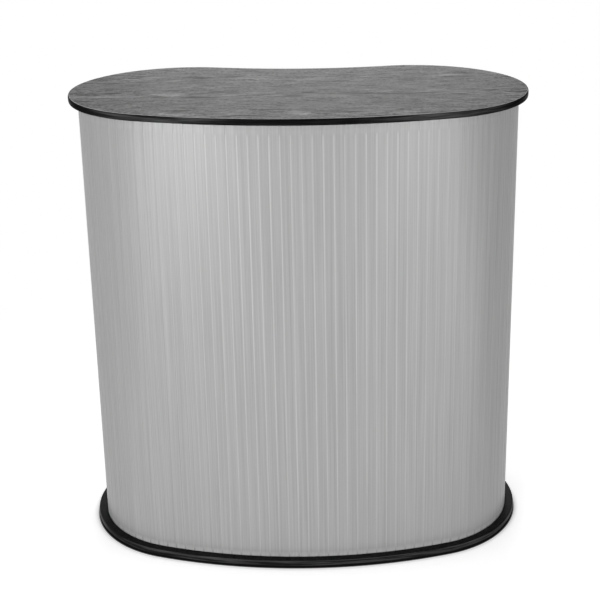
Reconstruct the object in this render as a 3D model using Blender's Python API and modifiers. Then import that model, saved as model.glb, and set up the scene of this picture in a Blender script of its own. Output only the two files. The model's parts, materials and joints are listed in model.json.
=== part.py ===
"""A knock-down exhibition counter: two kidney-shaped boards, a tambour wrap between them, and inside
it four jointed poles that carry a shelf and the top. Metres, +Z up, front towards -Y. The origin is
on the floor, at the centre of the outline's own box."""

import math

import bmesh
import bpy
from mathutils import Matrix, Vector

# Clearances and cuts
TOUCH_GAP = 0.0003
CUT_OVERRUN = 0.002
MERGE_DISTANCE = 0.00001
SHARP_ANGLE = math.radians(30.0)

# Kidney outline, measured at the outer face of the edge band
BOARD_WIDTH = 0.950
END_RADIUS = 0.235
FRONT_RADIUS = 1.004
BACK_RADIUS = 0.807
END_SEGMENTS = 28
FRONT_SEGMENTS = 16
BACK_SEGMENTS = 8

# Boards
OVERALL_HEIGHT = 0.972
BOARD_THICKNESS = 0.012
SHELF_THICKNESS = 0.012
SHELF_HEIGHT = 0.480
SHELF_CLEARANCE = 0.006

# Edge band of the top and base: a rounded face with a tongue in a slot of the board's edge
BAND_THICKNESS = 0.002
BAND_SHOULDER = 0.0008
BAND_FACE_SEGMENTS = 4
TONGUE_LENGTH = 0.006
TONGUE_THICKNESS = 0.0015
SHELF_BAND_THICKNESS = 0.001

# Tambour wrap: stiff slats and the thin soft hinges between them, made as one sheet, with a strip that
# keeps its top edge in shape and a trim on each upright end
WRAP_INSET = 0.0195
SLAT_PITCH = 0.0206
SLAT_WIDTH = 0.0176
SLAT_THICKNESS = 0.0035
HINGE_THICKNESS = 0.0020
GROOVE_DEPTH = 0.005
GROOVE_CLEARANCE = 0.0005
WRAP_TOP_CLEARANCE = 0.001
WRAP_STRIP_HEIGHT = 0.022
WRAP_STRIP_THICKNESS = 0.0015
TRIM_DEPTH = 0.012
TRIM_WALL = 0.0012
BOARD_FACE_CLEARANCE = 0.0005
WRAP_END_TURN = math.radians(180.0)

# Poles, spigots and washers
POLE_RADIUS = 0.0125
POLE_WALL = 0.0015
POLE_EDGE_DISTANCE = 0.070
FRONT_POLE_TURN = math.radians(12.4)
BACK_POLE_TURN = math.radians(150.0)
SPIGOT_REACH = 0.030
SPIGOT_CHAMFER = 0.001
WASHER_RADIUS = 0.020
WASHER_THICKNESS = 0.002
POLE_SEGMENTS = 24
WASHER_SEGMENTS = 16

# Flanged sockets
FLANGE_RADIUS = 0.026
FLANGE_THICKNESS = 0.004
SOCKET_WALL = 0.0032
SOCKET_HEIGHT = 0.024
SOCKET_EDGE_CHAMFER = 0.0008
SOCKET_SEGMENTS = 20

# Countersunk socket screws and grub screws
SCREW_SHANK_RADIUS = 0.0025
SCREW_HEAD_RADIUS = 0.0050
SCREW_HEAD_EDGE = 0.0005
SCREW_BITE = 0.008
SCREW_SEGMENTS = 10
GRUB_RADIUS = 0.0024
GRUB_STAND_OUT = 0.0006
GRUB_HEIGHT = 0.014
GRUB_SEGMENTS = 8

# Glides, each with a stem pressed into the base board
GLIDE_HEIGHT = 0.0045
GLIDE_RADIUS = 0.015
GLIDE_CHAMFER = 0.0008
GLIDE_EDGE_DISTANCE = 0.045
GLIDE_STEM_RADIUS = 0.0035
GLIDE_STEM_LENGTH = 0.008
GLIDE_SEGMENTS = 16
GLIDE_TURNS = {
    "front": math.radians(5.0),
    "side": math.radians(75.0),
    "back": math.radians(184.0),
}

# Places that follow from the sizes above
END_CENTRE_X = BOARD_WIDTH / 2 - END_RADIUS
FRONT_CENTRE_Y = math.sqrt((FRONT_RADIUS - END_RADIUS) ** 2 - END_CENTRE_X ** 2)
BACK_CENTRE_Y = math.sqrt((BACK_RADIUS + END_RADIUS) ** 2 - END_CENTRE_X ** 2)
FRONT_TURN = math.atan2(END_CENTRE_X, FRONT_CENTRE_Y)
BACK_TURN = math.atan2(END_CENTRE_X, BACK_CENTRE_Y)
CENTRE_LINE_Y = (FRONT_RADIUS - FRONT_CENTRE_Y - END_RADIUS) / 2

BASE_UNDERSIDE = GLIDE_HEIGHT
BASE_TOP = BASE_UNDERSIDE + BOARD_THICKNESS
TOP_UNDERSIDE = OVERALL_HEIGHT - BOARD_THICKNESS
BOARD_INSET = BAND_THICKNESS + TOUCH_GAP

WRAP_INNER_INSET = WRAP_INSET + SLAT_THICKNESS
WRAP_BOTTOM = BASE_TOP - GROOVE_DEPTH + TOUCH_GAP
WRAP_TOP = TOP_UNDERSIDE + GROOVE_DEPTH - WRAP_TOP_CLEARANCE

SHELF_INSET = WRAP_INNER_INSET + SHELF_CLEARANCE
SHELF_TOP = SHELF_HEIGHT + SHELF_THICKNESS
POLE_BORE_RADIUS = POLE_RADIUS - POLE_WALL
SPIGOT_RADIUS = POLE_BORE_RADIUS - TOUCH_GAP
SOCKET_BORE_RADIUS = POLE_RADIUS + TOUCH_GAP
SOCKET_RADIUS = SOCKET_BORE_RADIUS + SOCKET_WALL
LOWER_POLE_BOTTOM = BASE_TOP + FLANGE_THICKNESS + 2 * TOUCH_GAP
LOWER_POLE_TOP = SHELF_HEIGHT - WASHER_THICKNESS - 2 * TOUCH_GAP
UPPER_POLE_BOTTOM = SHELF_TOP + WASHER_THICKNESS + 2 * TOUCH_GAP
UPPER_POLE_TOP = TOP_UNDERSIDE - FLANGE_THICKNESS - 2 * TOUCH_GAP


# Scene

def clear_scene():
    for item in list(bpy.data.objects):
        bpy.data.objects.remove(item, do_unlink=True)


def new_collection(name):
    collection = bpy.data.collections.new(name)
    bpy.context.scene.collection.children.link(collection)
    return collection


clear_scene()
COUNTER = new_collection("exhibition_counter")
CUTTERS = new_collection("cutters")


def make_material(name, colour, roughness, metallic=0.0):
    material = bpy.data.materials.new(name)
    material.use_nodes = True
    material.diffuse_color = (*colour, 1.0)
    shader = material.node_tree.nodes["Principled BSDF"]
    shader.inputs["Base Color"].default_value = (*colour, 1.0)
    shader.inputs["Roughness"].default_value = roughness
    shader.inputs["Metallic"].default_value = metallic
    return material


MATERIALS = {
    "ash_laminate": make_material("ash_laminate", (0.21, 0.21, 0.21), 0.45),
    "black_board": make_material("black_board", (0.02, 0.02, 0.02), 0.40),
    "black_edge": make_material("black_edge", (0.015, 0.015, 0.015), 0.30),
    "silver_slat": make_material("silver_slat", (0.42, 0.42, 0.42), 0.35),
    "wrap_strip": make_material("wrap_strip", (0.25, 0.25, 0.25), 0.50),
    "end_trim": make_material("end_trim", (0.40, 0.40, 0.41), 0.35),
    "aluminium": make_material("aluminium", (0.72, 0.72, 0.73), 0.32, 1.0),
    "cast_aluminium": make_material("cast_aluminium", (0.55, 0.56, 0.57), 0.38, 1.0),
    "steel": make_material("steel", (0.50, 0.50, 0.50), 0.30, 1.0),
    "nylon": make_material("nylon", (0.80, 0.80, 0.78), 0.50),
    "rubber": make_material("rubber", (0.02, 0.02, 0.02), 0.80),
}


# Outline

def outward(turn):
    """The outline's outward direction at a turn, which is 0 at the front centre and grows towards +X."""
    return Vector((math.sin(turn), -math.cos(turn)))


def convex_point(turn, inset):
    """The point on the front or right end arc whose outward direction is at this turn."""
    if turn <= FRONT_TURN:
        centre = Vector((0.0, FRONT_CENTRE_Y + CENTRE_LINE_Y))
        return centre + (FRONT_RADIUS - inset) * outward(turn)
    centre = Vector((END_CENTRE_X, CENTRE_LINE_Y))
    return centre + (END_RADIUS - inset) * outward(turn)


def side_point(turn, inset, side):
    """The same point on the right half (side 1) or the left half (side -1)."""
    point = convex_point(turn, inset)
    return Vector((side * point.x, point.y))


def kidney_outline(inset):
    """The whole outline, counter-clockwise from the front centre, moved in by an inset."""
    turns = [FRONT_TURN * step * 2 / FRONT_SEGMENTS for step in range(FRONT_SEGMENTS // 2)]
    end_sweep = math.pi + BACK_TURN - FRONT_TURN
    turns += [FRONT_TURN + end_sweep * step / END_SEGMENTS for step in range(END_SEGMENTS + 1)]
    right = [convex_point(turn, inset) for turn in turns]
    radius = BACK_RADIUS + inset
    centre = Vector((0.0, BACK_CENTRE_Y + CENTRE_LINE_Y))
    back = []
    for step in range(1, BACK_SEGMENTS):
        turn = BACK_TURN * (1 - 2 * step / BACK_SEGMENTS)
        back.append(centre + radius * outward(turn))
    left = [Vector((-point.x, point.y)) for point in reversed(right[1:])]
    return right + back + left


# Building tools

def add_object(name, mesh, material=None):
    item = bpy.data.objects.new(name, mesh)
    if material is not None and not mesh.materials:
        mesh.materials.append(MATERIALS[material])
    COUNTER.objects.link(item)
    return item


def shade_round(mesh):
    mesh.shade_smooth()
    mesh.set_sharp_from_angle(angle=SHARP_ANGLE)


def as_cutter(item):
    """Moves a solid to the cutters, out of the finished counter."""
    for collection in list(item.users_collection):
        collection.objects.unlink(item)
    CUTTERS.objects.link(item)
    item.hide_render = True
    item.display_type = "WIRE"


def cut(item, cutter):
    as_cutter(cutter)
    modifier = item.modifiers.new("Cut by " + cutter.name, "BOOLEAN")
    modifier.operation = "DIFFERENCE"
    modifier.object = cutter


def lofted(name, loops, material=None, ring=False):
    """Joins loops of the same count, each to the next. A ring also joins the last loop to the first, and
    what isn't a ring is closed by flat faces on its first and last loops."""
    count = len(loops[0])
    points = [point for loop in loops for point in loop]
    faces = []
    for lower in range(len(loops) if ring else len(loops) - 1):
        upper = (lower + 1) % len(loops)
        for index in range(count):
            following = (index + 1) % count
            faces.append((lower * count + index, lower * count + following,
                          upper * count + following, upper * count + index))
    if not ring:
        faces.append(tuple(reversed(range(count))))
        faces.append(tuple(range(len(points) - count, len(points))))
    mesh = bpy.data.meshes.new(name)
    mesh.from_pydata(points, [], faces)
    shade_round(mesh)
    return add_object(name, mesh, material)


def flat_solid(name, outline, bottom, top, material=None):
    """An outline, counter-clockwise from above, extruded from one level up to another."""
    loops = [[(x, y, level) for x, y in outline] for level in (bottom, top)]
    return lofted(name, loops, material)


def kidney_solid(name, profile, material, ring=False):
    """The kidney outline at each inset and level of a profile, which runs up on its outer side."""
    loops = [[(x, y, level) for x, y in kidney_outline(inset)] for inset, level in profile]
    return lofted(name, loops, material, ring)


def turned_mesh(name, profile, segments, closed=False):
    """A profile of (radius, height) points turned about Z. Its outer side runs from top to bottom."""
    mesh = bpy.data.meshes.new(name)
    edges = [(index, index + 1) for index in range(len(profile) - 1)]
    if closed:
        edges.append((len(profile) - 1, 0))
    mesh.from_pydata([(radius, 0.0, height) for radius, height in profile], edges, [])
    item = bpy.data.objects.new(name + " profile", mesh)
    COUNTER.objects.link(item)
    screw = item.modifiers.new("Turn", "SCREW")
    screw.axis = "Z"
    screw.steps = segments
    screw.render_steps = segments
    screw.use_merge_vertices = True
    screw.merge_threshold = MERGE_DISTANCE
    bpy.context.view_layer.update()
    evaluated = item.evaluated_get(bpy.context.evaluated_depsgraph_get())
    turned = bpy.data.meshes.new_from_object(evaluated)
    turned.name = name
    bpy.data.objects.remove(item, do_unlink=True)
    bpy.data.meshes.remove(mesh)
    shade_round(turned)
    return turned


def mesh_group(name, mesh, places):
    """One object of separate copies of a mesh, one at each place."""
    group = bmesh.new()
    for place in places:
        first = len(group.verts)
        group.from_mesh(mesh)
        group.verts.ensure_lookup_table()
        bmesh.ops.transform(group, matrix=place, verts=group.verts[first:])
    joined = bpy.data.meshes.new(name)
    group.to_mesh(joined)
    group.free()
    return add_object(name, joined)


def rod_mesh(name, radius, bottom, top, segments):
    """A plain round rod about Z."""
    rod = bmesh.new()
    place = Matrix.Translation((0.0, 0.0, (bottom + top) / 2))
    bmesh.ops.create_cone(
        rod, cap_ends=True, segments=segments, radius1=radius, radius2=radius,
        depth=top - bottom, matrix=place)
    mesh = bpy.data.meshes.new(name)
    rod.to_mesh(mesh)
    rod.free()
    shade_round(mesh)
    return mesh


def at(point, height):
    return Matrix.Translation((point[0], point[1], height))


# Places

SIDES = {"right": 1, "left": -1}
POLE_PLACES = {}
for row_name, row_turn in (("front", FRONT_POLE_TURN), ("back", BACK_POLE_TURN)):
    for side_name, side_sign in SIDES.items():
        POLE_PLACES[row_name + "_" + side_name] = side_point(row_turn, POLE_EDGE_DISTANCE, side_sign)

GLIDE_PLACES = {}
for row_name, row_turn in GLIDE_TURNS.items():
    for side_name, side_sign in SIDES.items():
        GLIDE_PLACES[row_name + "_" + side_name] = side_point(row_turn, GLIDE_EDGE_DISTANCE, side_sign)

FLIP = Matrix.Rotation(math.pi, 4, "X")


def socket_frames(level, upside_down):
    """One frame for each pole, on the face that its socket is screwed to."""
    for point in POLE_PLACES.values():
        frame = at(point, level)
        yield frame @ FLIP if upside_down else frame


# Tambour wrap

def wrap_turn(distance):
    """The outline's turn at a distance from the front centre, measured along the wrap's inner face."""
    front_radius = FRONT_RADIUS - WRAP_INNER_INSET
    front_length = front_radius * FRONT_TURN
    if distance <= front_length:
        return distance / front_radius
    return FRONT_TURN + (distance - front_length) / (END_RADIUS - WRAP_INNER_INSET)


def half_slat_count():
    """How many slats fit on one side of the middle slat, up to where the open back begins."""
    front_length = (FRONT_RADIUS - WRAP_INNER_INSET) * FRONT_TURN
    end_length = (END_RADIUS - WRAP_INNER_INSET) * (WRAP_END_TURN - FRONT_TURN)
    return int((front_length + end_length) / SLAT_PITCH - 0.5)


def fold_points(inset=WRAP_INNER_INSET):
    """The folds, one pitch apart from left to right, at the wrap's inner face or further in."""
    distances = [(index + 0.5) * SLAT_PITCH for index in range(half_slat_count() + 1)]
    right = [convex_point(wrap_turn(distance), inset) for distance in distances]
    left = [Vector((-point.x, point.y)) for point in reversed(right)]
    return left + right


def slat_frames():
    """One frame for each slat, at the middle of its inner face: X along the wrap and Y inwards."""
    folds = fold_points()
    frames = []
    for start, end in zip(folds, folds[1:]):
        along = end - start
        turn = Matrix.Rotation(math.atan2(along.y, along.x), 4, "Z")
        frames.append(at((start + end) / 2, 0.0) @ turn)
    return frames


def in_frame(frame, along, inwards):
    return (frame @ Vector((along, inwards, 0.0))).xy


def build_wrap():
    """Every slat stands out from the hinges on the outer side. The inner side is smooth."""
    frames = slat_frames()
    half = SLAT_WIDTH / 2
    outer = []
    for frame in frames:
        outer.append(in_frame(frame, -half, -HINGE_THICKNESS))
        outer.append(in_frame(frame, -half, -SLAT_THICKNESS))
        outer.append(in_frame(frame, half, -SLAT_THICKNESS))
        outer.append(in_frame(frame, half, -HINGE_THICKNESS))
    inner = [in_frame(frames[0], -half, 0.0)] + fold_points()[1:-1] + [in_frame(frames[-1], half, 0.0)]
    outline = outer[1:-1] + inner[::-1]
    flat_solid("tambour_wrap", outline, WRAP_BOTTOM, WRAP_TOP, "silver_slat")


def build_wrap_strip():
    """A strip behind the wrap's top edge, from one end slat to the other."""
    outer_inset = WRAP_INNER_INSET + TOUCH_GAP
    outer = fold_points(outer_inset)[1:-1]
    inner = fold_points(outer_inset + WRAP_STRIP_THICKNESS)[1:-1]
    top = TOP_UNDERSIDE - BOARD_FACE_CLEARANCE
    flat_solid("wrap_top_strip", outer + inner[::-1], top - WRAP_STRIP_HEIGHT, top, "wrap_strip")


def build_end_trims():
    """A channel on each upright end of the wrap, between the boards."""
    frames = slat_frames()
    floor = SLAT_WIDTH / 2 + TOUCH_GAP
    end = floor + TRIM_WALL
    mouth = end - TRIM_DEPTH
    inner_lip = TOUCH_GAP
    outer_lip = -SLAT_THICKNESS - TOUCH_GAP
    profile = [
        (mouth, outer_lip - TRIM_WALL), (end, outer_lip - TRIM_WALL), (end, inner_lip + TRIM_WALL),
        (mouth, inner_lip + TRIM_WALL), (mouth, inner_lip), (floor, inner_lip),
        (floor, outer_lip), (mouth, outer_lip),
    ]
    bottom = BASE_TOP + BOARD_FACE_CLEARANCE
    top = TOP_UNDERSIDE - BOARD_FACE_CLEARANCE
    for side_name, side_sign in SIDES.items():
        frame = frames[-1] if side_sign > 0 else frames[0]
        outline = [in_frame(frame, side_sign * along, inwards) for along, inwards in profile]
        flat_solid("wrap_end_trim_" + side_name, outline[::side_sign], bottom, top, "end_trim")


def groove_cutter(name, bottom, top):
    """The space that one edge of the wrap takes in a board, with its clearance."""
    outer_inset = WRAP_INSET - GROOVE_CLEARANCE
    inner_inset = WRAP_INNER_INSET + GROOVE_CLEARANCE
    last_turn = wrap_turn((half_slat_count() + 0.5) * SLAT_PITCH)
    turns = [FRONT_TURN * step * 2 / FRONT_SEGMENTS for step in range(FRONT_SEGMENTS // 2)]
    sweep = last_turn - FRONT_TURN
    turns += [FRONT_TURN + sweep * step / END_SEGMENTS for step in range(END_SEGMENTS + 1)]
    outline = []
    for inset, order in ((outer_inset, 1), (inner_inset, -1)):
        right = [convex_point(turn, inset) for turn in turns]
        left = [Vector((-point.x, point.y)) for point in reversed(right[1:])]
        outline += (left + right)[::order]
    return flat_solid(name, outline, bottom, top)


# Boards and edge bands

def build_board(name, underside, material):
    """A board whose edge has the slot for the band's tongue."""
    middle = underside + BOARD_THICKNESS / 2
    slot_half = TONGUE_THICKNESS / 2 + TOUCH_GAP
    slot_inset = BAND_THICKNESS + TONGUE_LENGTH + TOUCH_GAP
    profile = [
        (BOARD_INSET, underside), (BOARD_INSET, middle - slot_half),
        (slot_inset, middle - slot_half), (slot_inset, middle + slot_half),
        (BOARD_INSET, middle + slot_half), (BOARD_INSET, underside + BOARD_THICKNESS),
    ]
    return kidney_solid(name, profile, material)


def build_edge_band(name, underside):
    """The band's face is a shallow arc, and its tongue lies at the board's middle level."""
    half = BOARD_THICKNESS / 2
    middle = underside + half
    profile = [(BAND_THICKNESS, underside)]
    for step in range(BAND_FACE_SEGMENTS + 1):
        share = 2 * step / BAND_FACE_SEGMENTS - 1
        inset = (BAND_THICKNESS - BAND_SHOULDER) * share ** 2
        profile.append((inset, middle + half * share))
    half_tongue = TONGUE_THICKNESS / 2
    tongue_inset = BAND_THICKNESS + TONGUE_LENGTH
    profile += [
        (BAND_THICKNESS, middle + half), (BAND_THICKNESS, middle + half_tongue),
        (tongue_inset, middle + half_tongue), (tongue_inset, middle - half_tongue),
        (BAND_THICKNESS, middle - half_tongue),
    ]
    kidney_solid(name, profile, "black_edge", ring=True)


def hole_cutter(name, radius, frames, depth):
    """Round holes that run from zero down to a depth in each frame."""
    hole = rod_mesh("hole", radius + TOUCH_GAP, -depth - TOUCH_GAP, CUT_OVERRUN, SCREW_SEGMENTS)
    return mesh_group(name, hole, frames)


def build_top():
    board = build_board("top_board", TOP_UNDERSIDE, "ash_laminate")
    groove = groove_cutter("top groove", TOP_UNDERSIDE - CUT_OVERRUN, TOP_UNDERSIDE + GROOVE_DEPTH)
    cut(board, groove)
    frames = socket_frames(TOP_UNDERSIDE, True)
    cut(board, hole_cutter("top screw holes", SCREW_SHANK_RADIUS, frames, SCREW_BITE))
    build_edge_band("top_edge_band", TOP_UNDERSIDE)


def build_base():
    board = build_board("base_board", BASE_UNDERSIDE, "black_board")
    cut(board, groove_cutter("base groove", BASE_TOP - GROOVE_DEPTH, BASE_TOP + CUT_OVERRUN))
    frames = socket_frames(BASE_TOP, False)
    cut(board, hole_cutter("base screw holes", SCREW_SHANK_RADIUS, frames, SCREW_BITE))
    frames = [at(point, BASE_UNDERSIDE) @ FLIP for point in GLIDE_PLACES.values()]
    cut(board, hole_cutter("glide stem holes", GLIDE_STEM_RADIUS, frames, GLIDE_STEM_LENGTH))
    build_edge_band("base_edge_band", BASE_UNDERSIDE)


def build_shelf():
    band_inset = SHELF_INSET + SHELF_BAND_THICKNESS
    board_inset = band_inset + TOUCH_GAP
    profile = [(board_inset, SHELF_HEIGHT), (board_inset, SHELF_TOP)]
    board = kidney_solid("shelf_board", profile, "black_board")
    hole = rod_mesh("spigot hole", SPIGOT_RADIUS + TOUCH_GAP, SHELF_HEIGHT - CUT_OVERRUN,
                    SHELF_TOP + CUT_OVERRUN, POLE_SEGMENTS)
    frames = [at(point, 0.0) for point in POLE_PLACES.values()]
    cut(board, mesh_group("spigot holes", hole, frames))
    profile = [(SHELF_INSET, SHELF_HEIGHT), (SHELF_INSET, SHELF_TOP),
               (band_inset, SHELF_TOP), (band_inset, SHELF_HEIGHT)]
    kidney_solid("shelf_edge_band", profile, "black_edge", ring=True)


# Poles, spigots and washers

def tube_mesh(name, outer, inner, bottom, top, segments):
    profile = [(outer, top), (outer, bottom), (inner, bottom), (inner, top)]
    return turned_mesh(name, profile, segments, closed=True)


def build_poles():
    lower = tube_mesh("lower pole", POLE_RADIUS, POLE_BORE_RADIUS, LOWER_POLE_BOTTOM,
                      LOWER_POLE_TOP, POLE_SEGMENTS)
    upper = tube_mesh("upper pole", POLE_RADIUS, POLE_BORE_RADIUS, UPPER_POLE_BOTTOM,
                      UPPER_POLE_TOP, POLE_SEGMENTS)
    low_end = LOWER_POLE_TOP - SPIGOT_REACH
    high_end = UPPER_POLE_BOTTOM + SPIGOT_REACH
    tip = SPIGOT_RADIUS - SPIGOT_CHAMFER
    spigot = turned_mesh("spigot", [
        (0.0, high_end), (tip, high_end), (SPIGOT_RADIUS, high_end - SPIGOT_CHAMFER),
        (SPIGOT_RADIUS, low_end + SPIGOT_CHAMFER), (tip, low_end), (0.0, low_end),
    ], POLE_SEGMENTS)
    for place_name, point in POLE_PLACES.items():
        for prefix, mesh in (("lower_pole_", lower), ("upper_pole_", upper), ("spigot_", spigot)):
            item = add_object(prefix + place_name, mesh, "aluminium")
            item.location = (point.x, point.y, 0.0)


def build_washers():
    bore = SPIGOT_RADIUS + TOUCH_GAP
    washer = tube_mesh("washer", WASHER_RADIUS, bore, 0.0, WASHER_THICKNESS, WASHER_SEGMENTS)
    low_level = SHELF_HEIGHT - TOUCH_GAP - WASHER_THICKNESS
    for prefix, level in (("lower_washer_", low_level), ("upper_washer_", SHELF_TOP + TOUCH_GAP)):
        for place_name, point in POLE_PLACES.items():
            item = add_object(prefix + place_name, washer, "nylon")
            item.location = (point.x, point.y, level)


# Sockets and their screws

def grub_frame():
    """The grub screw's axis, outwards from a socket's own axis, towards the open back."""
    return Matrix.Translation((0.0, 0.0, GRUB_HEIGHT)) @ Matrix.Rotation(-math.pi / 2, 4, "X")


def countersink_depth(head_radius):
    return head_radius - SCREW_SHANK_RADIUS + SCREW_HEAD_EDGE


def socket_mesh(name):
    """A flanged socket about Z, its flange on the level of zero, its mouth upwards, its floor drilled."""
    hole = SCREW_SHANK_RADIUS + TOUCH_GAP
    sink = SCREW_HEAD_RADIUS + TOUCH_GAP
    profile = [
        (SOCKET_RADIUS - SOCKET_EDGE_CHAMFER, SOCKET_HEIGHT),
        (SOCKET_RADIUS, SOCKET_HEIGHT - SOCKET_EDGE_CHAMFER), (SOCKET_RADIUS, FLANGE_THICKNESS),
        (FLANGE_RADIUS, FLANGE_THICKNESS), (FLANGE_RADIUS, 0.0), (hole, 0.0),
        (hole, FLANGE_THICKNESS - countersink_depth(SCREW_HEAD_RADIUS)),
        (sink, FLANGE_THICKNESS - SCREW_HEAD_EDGE), (sink, FLANGE_THICKNESS),
        (SOCKET_BORE_RADIUS, FLANGE_THICKNESS), (SOCKET_BORE_RADIUS, SOCKET_HEIGHT),
    ]
    return turned_mesh(name, profile, SOCKET_SEGMENTS, closed=True)


def build_base_sockets():
    socket = socket_mesh("base socket")
    grub = rod_mesh("grub screw", GRUB_RADIUS, SOCKET_BORE_RADIUS, SOCKET_RADIUS + GRUB_STAND_OUT,
                    GRUB_SEGMENTS)
    hole = rod_mesh("grub hole", GRUB_RADIUS + TOUCH_GAP, SOCKET_BORE_RADIUS - CUT_OVERRUN,
                    SOCKET_RADIUS + CUT_OVERRUN, GRUB_SEGMENTS)
    for place_name, frame in zip(POLE_PLACES, socket_frames(BASE_TOP + TOUCH_GAP, False)):
        item = add_object("base_socket_" + place_name, socket, "cast_aluminium")
        item.matrix_world = frame
        cutter = add_object("grub hole " + place_name, hole)
        cutter.matrix_world = frame @ grub_frame()
        cut(item, cutter)
        item = add_object("grub_screw_" + place_name, grub, "steel")
        item.matrix_world = frame @ grub_frame()


def build_top_sockets():
    socket = socket_mesh("top socket")
    for place_name, frame in zip(POLE_PLACES, socket_frames(TOP_UNDERSIDE - TOUCH_GAP, True)):
        item = add_object("top_socket_" + place_name, socket, "cast_aluminium")
        item.matrix_world = frame


def build_socket_screws():
    """Countersunk screws through the sockets' floors. Zero is the underside of the flange."""
    rim = FLANGE_THICKNESS
    edge = rim - SCREW_HEAD_EDGE
    neck = rim - countersink_depth(SCREW_HEAD_RADIUS) + TOUCH_GAP
    tip = TOUCH_GAP - SCREW_BITE
    profile = [
        (0.0, rim), (SCREW_HEAD_RADIUS, rim), (SCREW_HEAD_RADIUS, edge + TOUCH_GAP),
        (SCREW_SHANK_RADIUS, neck), (SCREW_SHANK_RADIUS, tip + SCREW_SHANK_RADIUS), (0.0, tip),
    ]
    screw = turned_mesh("socket screw", profile, SCREW_SEGMENTS)
    for prefix, level, upside_down in (
            ("base_socket_screw_", BASE_TOP + TOUCH_GAP, False),
            ("top_socket_screw_", TOP_UNDERSIDE - TOUCH_GAP, True)):
        for place_name, frame in zip(POLE_PLACES, socket_frames(level, upside_down)):
            item = add_object(prefix + place_name, screw, "steel")
            item.matrix_world = frame


# Glides

def build_glides():
    pad_top = GLIDE_HEIGHT - TOUCH_GAP
    stem_top = GLIDE_HEIGHT + GLIDE_STEM_LENGTH - TOUCH_GAP
    profile = [
        (0.0, stem_top), (GLIDE_STEM_RADIUS, stem_top), (GLIDE_STEM_RADIUS, pad_top),
        (GLIDE_RADIUS, pad_top), (GLIDE_RADIUS, GLIDE_CHAMFER), (GLIDE_RADIUS - GLIDE_CHAMFER, 0.0),
        (0.0, 0.0),
    ]
    glide = turned_mesh("glide", profile, GLIDE_SEGMENTS)
    for place_name, point in GLIDE_PLACES.items():
        item = add_object("base_glide_" + place_name, glide, "rubber")
        item.location = (point.x, point.y, 0.0)


build_top()
build_wrap()
build_wrap_strip()
build_end_trims()
build_base()
build_shelf()
build_poles()
build_washers()
build_base_sockets()
build_top_sockets()
build_socket_screws()
build_glides()
bpy.context.view_layer.update()
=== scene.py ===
"""Looks for the kidney-shaped exhibition counter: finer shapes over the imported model, the finish of every
surface, the camera, the floor and the light. Metres, +Z up, front towards -Y."""

import json
import math

import bpy
from mathutils import Matrix, Vector


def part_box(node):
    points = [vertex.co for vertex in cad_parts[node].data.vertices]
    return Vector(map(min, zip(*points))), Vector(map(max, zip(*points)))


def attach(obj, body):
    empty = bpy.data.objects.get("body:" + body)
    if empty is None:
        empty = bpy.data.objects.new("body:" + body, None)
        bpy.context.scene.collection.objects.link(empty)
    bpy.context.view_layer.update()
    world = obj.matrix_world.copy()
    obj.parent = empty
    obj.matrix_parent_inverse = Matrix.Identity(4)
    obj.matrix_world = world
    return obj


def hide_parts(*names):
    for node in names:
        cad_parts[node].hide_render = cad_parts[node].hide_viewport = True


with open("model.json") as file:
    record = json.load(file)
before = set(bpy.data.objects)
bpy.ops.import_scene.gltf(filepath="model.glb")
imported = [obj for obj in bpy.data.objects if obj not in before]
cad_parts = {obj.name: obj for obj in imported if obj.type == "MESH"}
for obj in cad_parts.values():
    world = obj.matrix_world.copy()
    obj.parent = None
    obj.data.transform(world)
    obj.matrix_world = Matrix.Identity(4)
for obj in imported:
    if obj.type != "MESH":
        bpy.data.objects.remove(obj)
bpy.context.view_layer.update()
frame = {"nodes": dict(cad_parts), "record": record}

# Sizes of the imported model
BOARD_WIDTH = 0.950
END_RADIUS = 0.235
FRONT_RADIUS = 1.004
BACK_RADIUS = 0.807
BOARD_THICKNESS = 0.012
BAND_THICKNESS = 0.002
TONGUE_LENGTH = 0.006
TONGUE_THICKNESS = 0.0015
TOUCH_GAP = 0.0003
WRAP_INSET = 0.0195
WRAP_INNER_INSET = 0.023
SLAT_PITCH = 0.0206
SLAT_WIDTH = 0.0176
SLAT_THICKNESS = 0.0035
GROOVE_DEPTH = 0.005
TRIM_DEPTH = 0.012
TRIM_WALL = 0.0012
WRAP_END_TURN = math.radians(180.0)
POLE_RADIUS = 0.0125
POLE_BORE_RADIUS = 0.011
SPIGOT_RADIUS = 0.0107
WASHER_RADIUS = 0.020
FLANGE_RADIUS = 0.026
FLANGE_THICKNESS = 0.004
SOCKET_RADIUS = 0.016
SOCKET_BORE_RADIUS = 0.0128
SCREW_HEAD_RADIUS = 0.0050
GRUB_RADIUS = 0.0024
GRUB_STAND_OUT = 0.0006
GRUB_HEIGHT = 0.014
GLIDE_HEIGHT = 0.0045
GLIDE_RADIUS = 0.015
GLIDE_STEM_RADIUS = 0.0035
GLIDE_STEM_LENGTH = 0.008

END_CENTRE_X = BOARD_WIDTH / 2 - END_RADIUS
FRONT_CENTRE_Y = math.sqrt((FRONT_RADIUS - END_RADIUS) ** 2 - END_CENTRE_X ** 2)
BACK_CENTRE_Y = math.sqrt((BACK_RADIUS + END_RADIUS) ** 2 - END_CENTRE_X ** 2)
FRONT_TURN = math.atan2(END_CENTRE_X, FRONT_CENTRE_Y)
BACK_TURN = math.atan2(END_CENTRE_X, BACK_CENTRE_Y)
CENTRE_LINE_Y = (FRONT_RADIUS - FRONT_CENTRE_Y - END_RADIUS) / 2

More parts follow.
